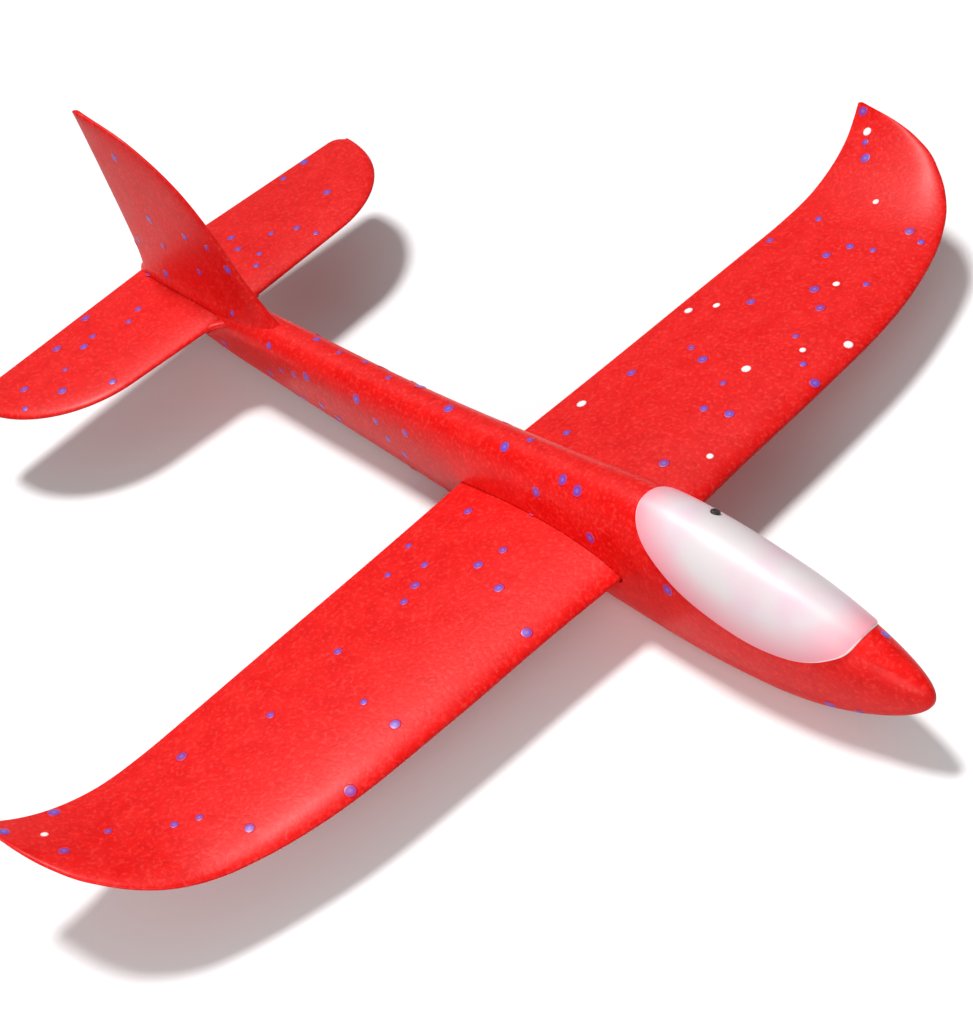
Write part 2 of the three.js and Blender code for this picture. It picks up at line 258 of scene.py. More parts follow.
def fin():
    rings = []
    leading = path_through(FIN_LEADING, FIN_LEVELS)
    trailing = path_through(FIN_TRAILING, FIN_LEVELS)
    for level, (front, back) in enumerate(zip(leading, trailing)):
        share = level / FIN_LEVELS
        thickness = FIN_ROOT_THICKNESS + (FIN_TIP_THICKNESS - FIN_ROOT_THICKNESS) * share
        ring = []
        for side in (1, -1):
            for k in range(FIN_FACE_POINTS):
                t = k / FIN_FACE_POINTS if side > 0 else 1 - k / FIN_FACE_POINTS
                x, z = front.lerp(back, (1 - math.cos(t * math.pi)) / 2)
                lens = FIN_EDGE_SHARE + (1 - FIN_EDGE_SHARE) * math.sin(math.pi * t)
                above = max(0, z - centre_height(x) - crown_rise(x))
                half = thickness / 2 + FILLET_SIZE * math.exp(-above / FILLET_HEIGHT)
                ring.append(Vector((x, side * half * lens, z)))
        rings.append(ring)
    return lofted("fin", rings)


# The section shared by the wing and the tailplane, as heights above its flat underside.
EDGE_THICKNESS = 1.2
THICKEST_AT = 0.3
EDGE_LEVEL = 0.35
LEADING_ROUND = 0.8
AFT_POWER = 1.7
SECTION_POINTS = 11
FINE_SECTION_POINTS = 44


def section_outline(lead, trail, thickness, points):
    """(x, z) from the trailing edge over the top to the leading edge and back below."""
    chord = lead - trail

    def top(share):
        if share < THICKEST_AT:
            ahead = 1 - share / THICKEST_AT
            return thickness * (EDGE_LEVEL + (1 - EDGE_LEVEL) * math.sqrt(1 - ahead**2))
        behind = (share - THICKEST_AT) / (1 - THICKEST_AT)
        return thickness - (thickness - min(EDGE_THICKNESS, thickness)) * behind**AFT_POWER

    def bottom(share):
        ahead = 1 - min(1, share * chord / (LEADING_ROUND * thickness))
        return thickness * EDGE_LEVEL * (1 - math.sqrt(1 - ahead**2))

    shares = [0.5 + 0.5 * math.cos(k / points * math.pi) for k in range(points + 1)]
    over = [(lead - s * chord, top(s)) for s in shares]
    return over + [(lead - s * chord, bottom(s)) for s in shares[-2::-1]]


def grown(outline, clearance):
    """An outline let out by a clearance."""
    out = []
    for i, (x, z) in enumerate(outline):
        before, after = outline[i - 1], outline[(i + 1) % len(outline)]
        along = Vector((after[0] - before[0], after[1] - before[1])).normalized()
        out.append((x - along.y * clearance, z + along.x * clearance))
    return out


WING_Z = 24
WING_LEADING = [
    (0, 30), (50, 27), (100, 25.5), (150, 22), (180, 15.5), (200, 8.5),
    (214, 0.5), (225, -11), (233, -25), (238, -44), (240, -61),
]
WING_TRAILING = [(0, -65), (60, -63.5), (150, -62), (200, -60.5), (225, -61.5), (240, -65)]
WING_THICKNESS = [(0, 9), (100, 8), (180, 6), (225, 4), (240, 2.2)]
wing_leading = curve(WING_LEADING)
wing_trailing = curve(WING_TRAILING)
wing_thickness = curve(WING_THICKNESS)


def wing_outline(out, points):
    return section_outline(wing_leading(out), wing_trailing(out), wing_thickness(out), points)


TAIL_Z = 37
TAIL_HALF_SPAN = 112
TAIL_OFFSET = 6  # it rests pushed in a little to the left
TAIL_LEADING_ROOT, TAIL_LEADING_SLOPE = -225, 0.06
TAIL_TRAILING_ROOT, TAIL_TRAILING_SLOPE = -296, 0.05
TAIL_LEADING_TIP, TAIL_LEADING_TIP_BACK = 50, 50
TAIL_TRAILING_TIP = 6
TAIL_THICKNESS, TAIL_TIP_THICKNESS = 5.4, 2.8


def tail_outline(out, points):
    def turn(length):
        into = min(max((out - (TAIL_HALF_SPAN - length)) / length, 0), 1)
        return 1 - math.sqrt(1 - into**2)
    lead = TAIL_LEADING_ROOT - TAIL_LEADING_SLOPE * out
    lead -= TAIL_LEADING_TIP_BACK * turn(TAIL_LEADING_TIP)
    trail = TAIL_TRAILING_ROOT + TAIL_TRAILING_SLOPE * out
    trail += TAIL_TRAILING_TIP * turn(TAIL_TRAILING_TIP)
    share = out / TAIL_HALF_SPAN
    thickness = TAIL_THICKNESS + (TAIL_TIP_THICKNESS - TAIL_THICKNESS) * share
    return section_outline(lead, trail, thickness, points)


FAIRING_FROM = 6  # distance from the middle at which the root fairing starts, inside the boom
FAIRING_SIZE = 13
FAIRING_HALF_HEIGHT = 1.7
FAIRING_BURIED = 4  # how far it runs back into the slot, where the slot's cut takes it off
FAIRING_STEPS, FAIRING_POINTS = 20, 32


def root_fairing(side):
    """The web in the corner between the boom and the tailplane's leading edge."""
    rings = []
    for k in range(FAIRING_STEPS + 1):
        share = k / FAIRING_STEPS
        out = FAIRING_FROM + FAIRING_SIZE * share
        lead = TAIL_LEADING_ROOT - TAIL_LEADING_SLOPE * out
        front = lead + FAIRING_SIZE * (1 - math.sqrt(1 - (1 - share) ** 2))
        rear = lead - FAIRING_BURIED
        turns = [j / FAIRING_POINTS * math.tau for j in range(FAIRING_POINTS)]
        rings.append([Vector(((front + rear) / 2 + (front - rear) / 2 * math.cos(t), side * out,
                              TAIL_Z + FAIRING_HALF_HEIGHT * (1 + math.sin(t)))) for t in turns])
    return lofted("root_fairing", rings)


def raised(outline, height):
    return [(x, z + height) for x, z in outline]


def canopy_outline(margin):
    """The side view of the canopy's rim, closed above it, let out by a margin."""
    below = [tuple(p) for p in reversed(path_through(CANOPY_RIM, RIM_STEPS))]
    ends = [(CANOPY_RIM[0][0], CANOPY_TOP), (CANOPY_RIM[-1][0], CANOPY_TOP)]
    return grown(ends + below, margin)


def cleared(material):
    """A material's node tree with nothing in it."""
    material.use_nodes = True
    material.node_tree.nodes.clear()
    return material.node_tree


def adder(tree):
    """The function that adds a node to a tree, with its settings and the links into it."""
    def add(kind, settings=None, **links):
        node = tree.nodes.new(kind)
        for key, value in (settings or {}).items():
            if isinstance(key, str) and hasattr(node, key):
                setattr(node, key, value)
            else:
                node.inputs[key].default_value = value
        for key, source in links.items():
            name = int(key[1:]) if key[0] == "i" and key[1:].isdigit() else key
            name = name.replace("_", " ") if isinstance(name, str) else name
            tree.links.new(source, node.inputs[name])
        return node

    return add


def linear(hex_colour):
    """An sRGB hex colour as linear light."""
    parts = [int(hex_colour[k:k + 2], 16) / 255 for k in (1, 3, 5)]
    return (*(p / 12.92 if p < 0.04045 else ((p + 0.055) / 1.055) ** 2.4 for p in parts), 1)


# Steam-moulded bead foam (expanded polypropylene) dyed red. Beads of about 3 mm show as faint
# cells, each a slightly different red, with dimples where they meet, under a skin that the mould
# has left smooth and a little glossy.
FOAM_BEAD = 3.1
FOAM_SPECK = 1.6  # the pale specks are scuffs and trapped steam in the skin
FOAM_RED, FOAM_DEEP, FOAM_PALE, FOAM_DUST = "#e60a06", "#da0303", "#ee211c", "#f6423c"
foam = bpy.data.materials.new("red_bead_foam")
add = adder(cleared(foam))
coords = add("ShaderNodeTexCoord").outputs["Object"]
cells = add("ShaderNodeTexVoronoi", {"Scale": 1 / (FOAM_BEAD * MM)}, Vector=coords)
seams = add("ShaderNodeTexVoronoi",
            {"feature": "DISTANCE_TO_EDGE", "Scale": 1 / (FOAM_BEAD * MM)}, Vector=coords)
clouds = add("ShaderNodeTexNoise", {"Scale": 1 / (9 * MM), "Detail": 4.0}, Vector=coords)
grain = add("ShaderNodeTexNoise", {"Scale": 1 / (0.7 * MM), "Detail": 3.0}, Vector=coords)
tone = add("ShaderNodeSeparateColor", {}, Color=cells.outputs["Color"]).outputs["Red"]
tint = add("ShaderNodeMix", {"data_type": "RGBA", 6: linear(FOAM_RED), 7: linear(FOAM_DEEP)},
           i0=tone)
soft = add("ShaderNodeMapRange", {"From Min": 0.42, "From Max": 0.78, "To Max": 0.5},
           Value=clouds.outputs["Fac"])
speck = add("ShaderNodeTexNoise", {"Scale": 1 / (FOAM_SPECK * MM), "Detail": 2.0}, Vector=coords)
dust = add("ShaderNodeMapRange", {"From Min": 0.5, "From Max": 0.75, "To Max": 0.55},
           Value=speck.outputs["Fac"])
mottled = add("ShaderNodeMix", {"data_type": "RGBA", 7: linear(FOAM_PALE)},
              i0=soft.outputs["Result"], i6=tint.outputs[2])
colour = add("ShaderNodeMix", {"data_type": "RGBA", 7: linear(FOAM_DUST)},
             i0=dust.outputs["Result"], i6=mottled.outputs[2])
groove = add("ShaderNodeMapRange",
             {"interpolation_type": "SMOOTHSTEP", "From Max": 0.22, "To Min": 0.0, "To Max": 1.0},
             Value=seams.outputs["Distance"])
matt = add("ShaderNodeMapRange", {"To Min": 0.36, "To Max": 0.56}, Value=clouds.outputs["Fac"])
dimple = add("ShaderNodeBump", {"Strength": 0.22, "Distance": 0.1 * MM},
             Height=groove.outputs["Result"])
pores = add("ShaderNodeBump", {"Strength": 0.25, "Distance": 0.05 * MM},
            Height=grain.outputs["Fac"], Normal=dimple.outputs["Normal"])
shader = add("ShaderNodeBsdfPrincipled",
             {"IOR": 1.49, "Specular IOR Level": 0.2, "Coat Weight": 0.05,
              "Coat Roughness": 0.2},
             Base_Color=colour.outputs[2], Roughness=matt.outputs["Result"],
             Normal=pores.outputs["Normal"])
add("ShaderNodeOutputMaterial", {}, Surface=shader.outputs["BSDF"])

fuselage = fuselage_shell("fuselage_moulding", 0)
cut(fuselage, fin(), "UNION")
cut(fuselage, root_fairing(1), "UNION")
cut(fuselage, root_fairing(-1), "UNION")
cut(fuselage, block("ground", (-THROUGH, -THROUGH / 2, -THROUGH), (THROUGH, THROUGH / 2, 0)))
cut(fuselage, prism("wing_slot", raised(grown(wing_outline(0, SECTION_POINTS), SLOT_GAP), WING_Z)))
cut(fuselage, prism("tail_slot", raised(grown(tail_outline(0, SECTION_POINTS), SLOT_GAP), TAIL_Z)))
seat = fuselage_shell("seat", -CANOPY_SHEET)
cut(seat, fuselage_shell("seat_floor", CANOPY_SHEET + CANOPY_GAP))
cut(seat, prism("seat_side", canopy_outline(CANOPY_GAP)), "INTERSECT")
cut(fuselage, seat)
cut(fuselage, block("well", (COCKPIT_FROM, -COCKPIT_WIDTH / 2, COCKPIT_FLOOR),
                    (COCKPIT_TO, COCKPIT_WIDTH / 2, CANOPY_TOP)))
cut(fuselage, bar_along_x("pocket", SLUG_RADIUS + SLOT_GAP, POCKET_FROM,
                          SLUG_TO + SLOT_GAP, SLUG_Z))
smooth(fuselage)
fuselage.data.materials.append(foam)
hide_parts("fuselage")
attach(fuselage, "fuselage")


# --- Wing --------------------------------------------------------------------------------------
# A one-piece foam moulding, flat underneath and cambered on top, whose tips sweep back and curl
# up. It is pushed sideways through the fuselage's slot, and friction holds it in the middle.
HALF_SPAN = 240
WING_RISE = [
    (0, 0), (125, 0), (160, 0.2), (180, 1), (200, 3.5), (215, 8.5), (228, 15), (236, 20), (240, 23),
]
WING_STATIONS = 130
wing_rise = curve(WING_RISE)

wing_rings = []
for i in range(-WING_STATIONS, WING_STATIONS + 1):
    y = HALF_SPAN * math.sin(i / WING_STATIONS * math.pi / 2)
    rise = WING_Z + wing_rise(abs(y))
    wing_rings.append([Vector((x, y, z + rise)) for x, z in
                       wing_outline(abs(y), FINE_SECTION_POINTS)])
wing = lofted("wing_moulding", wing_rings)
smooth(wing)
wing.data.materials.append(foam)
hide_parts("wing")
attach(wing, "wing")


# --- Tailplane ---------------------------------------------------------------------------------
# A smaller flat moulding of the same foam, with swept-back rounded tips. It slides through a
# slot in the boom under the fin, and rests a little to the left.
TAIL_STATIONS = 80

tail_rings = []
for i in range(-TAIL_STATIONS, TAIL_STATIONS + 1):
    y = TAIL_HALF_SPAN * math.sin(i / TAIL_STATIONS * math.pi / 2)
    tail_rings.append([Vector((x, y + TAIL_OFFSET, z + TAIL_Z)) for x, z in
                       tail_outline(abs(y), FINE_SECTION_POINTS)])
tailplane = lofted("tailplane_moulding", tail_rings)
smooth(tailplane)
tailplane.data.materials.append(foam)
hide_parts("tailplane")
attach(tailplane, "tailplane")


# --- Canopy ------------------------------------------------------------------------------------
# A shell of thin milky plastic sheet, drawn over a mould to the shape of the nose. It lies in a
# shallow seat over the cockpit, and its edge is rolled into a thin pale lip.
CANOPY_STATIONS = 110
CANOPY_COLUMNS = 72
PINK_REACH = 13.0  # distance from the rim over which the foam's red light, seen through the sheet, is painted into its colour
WELL_INSIDE_REAR, WELL_INSIDE_FRONT = 60, 110  # places along X that the canopy surely covers
HALVINGS = 30

fine_rim = path_through(CANOPY_RIM, RIM_STEPS * 6)


def rim_turn(x):
    """The turn at which the rim crosses the skin at x, or a quarter turn where it has closed."""
    z = next((a.y + (b.y - a.y) * (x - a.x) / (b.x - a.x)
              for a, b in zip(fine_rim, fine_rim[1:]) if a.x <= x <= b.x), fine_rim[-1].y)
    share = (z - centre_height(x)) / (crown_rise(x) * nose_cap(x))
    return math.asin(min(1, max(0, share) ** (SECTION_POWER / 2)))


def closing_x(inside, outside):
    """Where along X the rim meets the ridge, between a place inside and one outside."""
    for _ in range(HALVINGS):
        middle = (inside + outside) / 2
        if rim_turn(middle) < math.pi / 2:
            inside = middle
        else:
            outside = middle
    return inside


rear_x = closing_x(WELL_INSIDE_REAR, CANOPY_RIM[0][0])
front_x = closing_x(WELL_INSIDE_FRONT, CANOPY_RIM[-1][0])
middle_x, reach_x = (rear_x + front_x) / 2, (front_x - rear_x) / 2
canopy_rows = []
for i in range(CANOPY_STATIONS + 1):
    x = middle_x - reach_x * math.cos(i / CANOPY_STATIONS * math.pi)
    low = rim_turn(x)
    canopy_rows.append([skin_point(x, low + (math.pi - 2 * low) * j / CANOPY_COLUMNS)
                        for j in range(CANOPY_COLUMNS + 1)])

width = CANOPY_COLUMNS + 1
canopy_mesh = bpy.data.meshes.new("canopy_shell")
canopy_mesh.from_pydata(
    [p * MM for row in canopy_rows for p in row], [],
    [(i * width + j, (i + 1) * width + j, (i + 1) * width + j + 1, i * width + j + 1)
     for i in range(CANOPY_STATIONS) for j in range(CANOPY_COLUMNS)],
)
canopy = placed("canopy_shell", turned_out(canopy_mesh))
rim_loop = [row[0] for row in canopy_rows] + [row[-1] for row in canopy_rows[-2:0:-1]]
# How near each point of the sheet is to its rim, which sets how much painted red foam light it
# gets.
near_rim = canopy_mesh.attributes.new("near_rim", "FLOAT", "POINT")
for vertex, value in zip(canopy_mesh.vertices, near_rim.data):
    gap = min((vertex.co - p * MM).length for p in rim_loop)
    value.value = max(0, 1 - gap / (PINK_REACH * MM))
sheet = canopy.modifiers.new("sheet", "SOLIDIFY")
sheet.thickness = CANOPY_SHEET * MM
sheet.offset = -1
bpy.context.view_layer.update()
seen = canopy.evaluated_get(bpy.context.evaluated_depsgraph_get())
canopy_solid = bpy.data.meshes.new_from_object(seen)
canopy.modifiers.clear()
canopy.data = canopy_solid
smooth(canopy)

# Vacuum-formed polystyrene sheet, dyed a milky white: soft gloss and light passing through it. Near
# the rim the foam's red light, seen faintly through the sheet, is painted into its colour.
SHEET_WHITE, SHEET_LILAC, SHEET_PAINTED_FOAM_LIGHT = "#e2d9da", "#e6ccd6", "#f79aaa"
milky = bpy.data.materials.new("milky_formed_sheet")
add = adder(cleared(milky))
coords = add("ShaderNodeTexCoord").outputs["Object"]
drift = add("ShaderNodeTexNoise", {"Scale": 1 / (26 * MM), "Detail": 2.0}, Vector=coords)
flow = add("ShaderNodeTexNoise", {"Scale": 1 / (5 * MM), "Detail": 3.0}, Vector=coords)
patch = add("ShaderNodeMapRange", {"From Min": 0.42, "From Max": 0.62},
            Value=drift.outputs["Fac"])
base = add("ShaderNodeMix",
           {"data_type": "RGBA", 6: linear(SHEET_WHITE), 7: linear(SHEET_LILAC)},
           i0=patch.outputs["Result"])
# Painted light: towards the rim the sheet's colour is mixed towards pink, standing in for the
# foam's red light coming through it.
rim_share = add("ShaderNodeAttribute", {"attribute_name": "near_rim"})
painted_foam_light = add("ShaderNodeMapRange", {"To Max": 0.95}, Value=rim_share.outputs["Fac"])
colour = add("ShaderNodeMix", {"data_type": "RGBA", 7: linear(SHEET_PAINTED_FOAM_LIGHT)},
             i0=painted_foam_light.outputs["Result"], i6=base.outputs[2])
ripple = add("ShaderNodeBump", {"Strength": 0.3, "Distance": 0.1 * MM},
             Height=drift.outputs["Fac"])
polish = add("ShaderNodeMapRange", {"To Min": 0.36, "To Max": 0.5}, Value=flow.outputs["Fac"])
shader = add("ShaderNodeBsdfPrincipled",
             {"IOR": 1.59, "Transmission Weight": 0.06, "Subsurface Weight": 0.15,
              "Subsurface Radius": (0.003, 0.002, 0.002)},
             Base_Color=colour.outputs[2], Roughness=polish.outputs["Result"],
             Normal=ripple.outputs["Normal"])
add("ShaderNodeOutputMaterial", {}, Surface=shader.outputs["BSDF"])
canopy.data.materials.append(milky)
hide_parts("canopy")
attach(canopy, "fuselage")

# The lip: the sheet's edge, rolled round into a slim bead that stands on the skin.
LIP_RADIUS = 0.65
LIP_SIDES = 10
lip_rings = []
count = len(rim_loop)
for i, place in enumerate(rim_loop):
    along = (rim_loop[(i + 1) % count] - rim_loop[i - 1]).normalized()
    out = (place - Vector((place.x, 0, centre_height(place.x)))).normalized()
    side = along.cross(out).normalized()
    lift = side.cross(along)
    turns = [k / LIP_SIDES * math.tau for k in range(LIP_SIDES)]
    lip_rings.append([place + LIP_RADIUS * (math.cos(t) * side + math.sin(t) * lift)
                      for t in turns])
lip_mesh = bpy.data.meshes.new("canopy_lip")
lip_mesh.from_pydata(
    [p * MM for ring in lip_rings for p in ring], [],
    [(i * LIP_SIDES + j, i * LIP_SIDES + (j + 1) % LIP_SIDES,
      (i + 1) % count * LIP_SIDES + (j + 1) % LIP_SIDES, (i + 1) % count * LIP_SIDES + j)
     for i in range(count) for j in range(LIP_SIDES)],
)
lip = placed("canopy_lip", turned_out(lip_mesh))
lip.data.shade_smooth()

# The same sheet at its rolled edge, where it is thickest and palest.
LIP_PALE, LIP_ROSE = "#fff2f2", "#fce0e2"
lip_finish = bpy.data.materials.new("milky_rolled_edge")
add = adder(cleared(lip_finish))
coords = add("ShaderNodeTexCoord").outputs["Object"]
drift = add("ShaderNodeTexNoise", {"Scale": 1 / (7 * MM), "Detail": 2.0}, Vector=coords)
colour = add("ShaderNodeMix",
             {"data_type": "RGBA", 6: linear(LIP_PALE), 7: linear(LIP_ROSE)},
             i0=drift.outputs["Fac"])
shader = add("ShaderNodeBsdfPrincipled",
             {"IOR": 1.59, "Roughness": 0.3, "Subsurface Weight": 0.2,
              "Subsurface Radius": (0.002, 0.001, 0.001)},
             Base_Color=colour.outputs[2])
add("ShaderNodeOutputMaterial", {}, Surface=shader.outputs["BSDF"])
lip.data.materials.append(lip_finish)
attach(lip, "fuselage")


# --- Push pin ----------------------------------------------------------------------------------
# A small black moulded pin, pushed through the canopy into the foam to hold it down.
PIN_X, PIN_Y = 60, 7.5
PIN_HEAD_RADIUS, PIN_HEAD_HEIGHT = 1.9, 1.1
PIN_EDGE_ROUND = 0.4
PIN_ROUND_STEPS = 6
PIN_FOOT_IN, PIN_FOOT_UP = 0.1, 0.15  # the small step round the foot of the head
PIN_DISH_RIM, PIN_DISH_FLOOR, PIN_DISH_DEPTH = 1.1, 0.95, 0.2  # the shallow dish in its top
PIN_AXIS_RADIUS = 0.02
PIN_SHANK_RADIUS = 0.8
PIN_LENGTH = 9
PIN_LIFT = 0.6
PIN_SIDES = 48


def crown_at(x, y):
    """The height of the fuselage's upper skin at a point in plan."""
    side = half_width(x) * nose_cap(x)
    share = (1 - (abs(y) / side) ** SECTION_POWER) ** (1 / SECTION_POWER)
    return centre_height(x) + crown_rise(x) * nose_cap(x) * share


foot = Vector((PIN_X, PIN_Y, crown_at(PIN_X, PIN_Y)))
inward = Vector((PIN_X, PIN_Y - 1, crown_at(PIN_X, PIN_Y - 1)))
forward = Vector((PIN_X + 1, PIN_Y, crown_at(PIN_X + 1, PIN_Y)))
outwards = (forward - foot).cross(foot - inward).normalized()
pin_turn = Vector((0, 0, 1)).rotation_difference(outwards).to_matrix()
rounds = [k / PIN_ROUND_STEPS * math.pi / 2 for k in range(PIN_ROUND_STEPS + 1)]
profile = [(PIN_AXIS_RADIUS, -PIN_LENGTH), (PIN_SHANK_RADIUS, PIN_SHANK_RADIUS - PIN_LENGTH),
           (PIN_SHANK_RADIUS, 0), (PIN_HEAD_RADIUS - PIN_FOOT_IN, 0),
           (PIN_HEAD_RADIUS, PIN_FOOT_UP)]
profile += [(PIN_HEAD_RADIUS - PIN_EDGE_ROUND * (1 - math.cos(a)),
             PIN_HEAD_HEIGHT - PIN_EDGE_ROUND * (1 - math.sin(a))) for a in rounds]
dish_floor = PIN_HEAD_HEIGHT - PIN_DISH_DEPTH
profile += [(PIN_DISH_RIM, PIN_HEAD_HEIGHT), (PIN_DISH_FLOOR, dish_floor),
            (PIN_AXIS_RADIUS, dish_floor)]
pin_rings = []
for radius, height in profile:
    turns = [k / PIN_SIDES * math.tau for k in range(PIN_SIDES)]
    pin_rings.append([foot + outwards * PIN_LIFT + pin_turn @ Vector(
        (radius * math.cos(t), radius * math.sin(t), height)) for t in turns])
pin = lofted("canopy_push_pin", pin_rings)
smooth(pin)

# Moulded black nylon: half gloss, with the fine grain of its mould.
NYLON_BLACK, NYLON_GREY = "#121214", "#26262a"
nylon = bpy.data.materials.new("black_moulded_nylon")
add = adder(cleared(nylon))
coords = add("ShaderNodeTexCoord").outputs["Object"]
grain = add("ShaderNodeTexNoise", {"Scale": 1 / (0.25 * MM), "Detail": 2.0}, Vector=coords)
colour = add("ShaderNodeMix",
             {"data_type": "RGBA", 6: linear(NYLON_BLACK), 7: linear(NYLON_GREY)},
             i0=grain.outputs["Fac"])
dent = add("ShaderNodeBump", {"Strength": 0.2, "Distance": 0.03 * MM},
           Height=grain.outputs["Fac"])
shader = add("ShaderNodeBsdfPrincipled", {"IOR": 1.53, "Roughness": 0.38},
             Base_Color=colour.outputs[2], Normal=dent.outputs["Normal"])
add("ShaderNodeOutputMaterial", {}, Surface=shader.outputs["BSDF"])
pin.data.materials.append(nylon)
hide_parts("canopy_pin")
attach(pin, "fuselage")


# --- Nose slug ---------------------------------------------------------------------------------
# A turned steel slug with broken edges, glued into the pocket ahead of the cockpit to trim the
# balance. It shows only when the canopy is off.
SLUG_CHAMFER = 0.5
SLUG_SIDES = 64
slug_rings = []
for radius, x in [(SLUG_RADIUS - SLUG_CHAMFER, SLUG_FROM), (SLUG_RADIUS, SLUG_FROM + SLUG_CHAMFER),
                  (SLUG_RADIUS, SLUG_TO - SLUG_CHAMFER), (SLUG_RADIUS - SLUG_CHAMFER, SLUG_TO)]:
    turns = [k / SLUG_SIDES * math.tau for k in range(SLUG_SIDES)]
    slug_rings.append([Vector((x, radius * math.cos(t), SLUG_Z + radius * math.sin(t)))
                       for t in turns])
slug = lofted("turned_nose_slug", slug_rings)
smooth(slug)

# Turned mild steel: bright, with fine rings left by the tool and a faint oil film.
STEEL_BRIGHT, STEEL_DULL = "#a7abb0", "#85898f"
steel = bpy.data.materials.new("turned_mild_steel")
add = adder(cleared(steel))
coords = add("ShaderNodeTexCoord").outputs["Object"]
rings = add("ShaderNodeTexWave", {"bands_direction": "X", "Scale": 1 / (0.6 * MM) / 20,
                                  "Distortion": 1.0}, Vector=coords)
colour = add("ShaderNodeMix",
             {"data_type": "RGBA", 6: linear(STEEL_BRIGHT), 7: linear(STEEL_DULL)},
             i0=rings.outputs["Fac"])
tooled = add("ShaderNodeBump", {"Strength": 0.3, "Distance": 0.02 * MM},
             Height=rings.outputs["Fac"])
shader = add("ShaderNodeBsdfPrincipled", {"Metallic": 1.0, "Roughness": 0.32},
             Base_Color=colour.outputs[2], Normal=tooled.outputs["Normal"])
add("ShaderNodeOutputMaterial", {}, Surface=shader.outputs["BSDF"])
slug.data.materials.append(steel)
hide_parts("nose_weight")
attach(slug, "fuselage")


# --- Odd beads ---------------------------------------------------------------------------------
# The foam is moulded from mixed beads: among the red ones are scattered violet-blue beads, dense
# on the fuselage and tail, and a few white ones. Each shows as a flat round spot in the skin.
BEAD_RADIUS = 2.3
BEAD_PROUD = 0.16  # half the height of the flattened bead
BEAD_SEGMENTS, BEAD_RINGS = 10, 6


def bead_tree(name, material):
    """Scatters flattened beads over a surface, each of a random size and tone."""
    tree = bpy.data.node_groups.new(name, "GeometryNodeTree")
    face = tree.interface
    face.new_socket("Surface", in_out="INPUT", socket_type="NodeSocketGeometry")
    for label, kind in (("Beads per square metre", "NodeSocketFloat"),
                        ("Least spacing", "NodeSocketFloat"),
                        ("Bead radius", "NodeSocketFloat"), ("Bead height", "NodeSocketFloat"),
                        ("Seed", "NodeSocketInt")):
        face.new_socket(label, in_out="INPUT", socket_type=kind)
    face.new_socket("Beads", in_out="OUTPUT", socket_type="NodeSocketGeometry")

    put = adder(tree)
    given = put("NodeGroupInput")
    share = put("GeometryNodeInputNamedAttribute", {"Name": "bead_share"})
    spots = put("GeometryNodeDistributePointsOnFaces", {"distribute_method": "POISSON"},
                Mesh=given.outputs["Surface"], Distance_Min=given.outputs["Least spacing"],
                Density_Max=given.outputs["Beads per square metre"],
                Density_Factor=share.outputs["Attribute"], Seed=given.outputs["Seed"])
    bead = put("GeometryNodeMeshUVSphere", {"Segments": BEAD_SEGMENTS, "Rings": BEAD_RINGS,
                                            "Radius": 1.0})
    position = put("GeometryNodeInputPosition")
    flat = put("ShaderNodeVectorMath", {"operation": "MULTIPLY", 1: (1, 1, 0)},
               i0=position.outputs["Position"])
    radial = put("ShaderNodeVectorMath", {"operation": "LENGTH"}, i0=flat.outputs["Vector"])
    marked = put("GeometryNodeStoreNamedAttribute",
                 {"data_type": "FLOAT", "domain": "POINT", "Name": "from_centre"},
                 Geometry=bead.outputs["Mesh"], Value=radial.outputs["Value"])
    vary = put("FunctionNodeRandomValue", {"data_type": "FLOAT", 2: 0.7, 3: 1.15},
               Seed=given.outputs["Seed"])
    wide = put("ShaderNodeMath", {"operation": "MULTIPLY"}, i0=vary.outputs[1],
               i1=given.outputs["Bead radius"])
    size = put("ShaderNodeCombineXYZ", {}, X=wide.outputs[0], Y=wide.outputs[0],
               Z=given.outputs["Bead height"])
    copies = put("GeometryNodeInstanceOnPoints", {}, Points=spots.outputs["Points"],
                 Instance=marked.outputs["Geometry"], Rotation=spots.outputs["Rotation"],
                 Scale=size.outputs["Vector"])
    dice = put("FunctionNodeRandomValue", {"data_type": "FLOAT", 2: 0.0, 3: 1.0, "Seed": 5})
    toned = put("GeometryNodeStoreNamedAttribute",
                {"data_type": "FLOAT", "domain": "INSTANCE", "Name": "bead_tone"},
                Geometry=copies.outputs["Instances"], Value=dice.outputs[1])
    real = put("GeometryNodeRealizeInstances", {}, Geometry=toned.outputs["Geometry"])
    even = put("GeometryNodeSetShadeSmooth", {}, Geometry=real.outputs["Geometry"])
    painted = put("GeometryNodeSetMaterial", {"Material": material},
                  Geometry=even.outputs["Geometry"])
    end = tree.nodes.new("NodeGroupOutput")
    tree.links.new(painted.outputs["Geometry"], end.inputs["Beads"])
    return tree


def scattered(name, host, tree, share, body, slot, **sizes):
    """Beads over a copy of a moulding's skin, as a mesh of their own on the same body."""
    skin = host.data.copy()
    weights = skin.attributes.new("bead_share", "FLOAT", "POINT")
    for vertex, weight in zip(skin.vertices, weights.data):
        weight.value = share(vertex.co / MM)
    return beaded(placed(name, skin), tree, body, sizes)


def beaded(thing, tree, body, sizes):
    """Runs the bead tree on a thing and keeps what it makes, riding on a body."""
    step = thing.modifiers.new("beads", "NODES")
    step.node_group = tree
    for item in tree.interface.items_tree:
        if item.in_out == "INPUT" and item.name in sizes:
            step[item.identifier] = sizes[item.name]
    bpy.context.view_layer.update()
    seen = thing.evaluated_get(bpy.context.evaluated_depsgraph_get())
    mesh = bpy.data.meshes.new_from_object(seen)
    thing.modifiers.clear()
    thing.data = mesh
    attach(thing, body)
    return thing


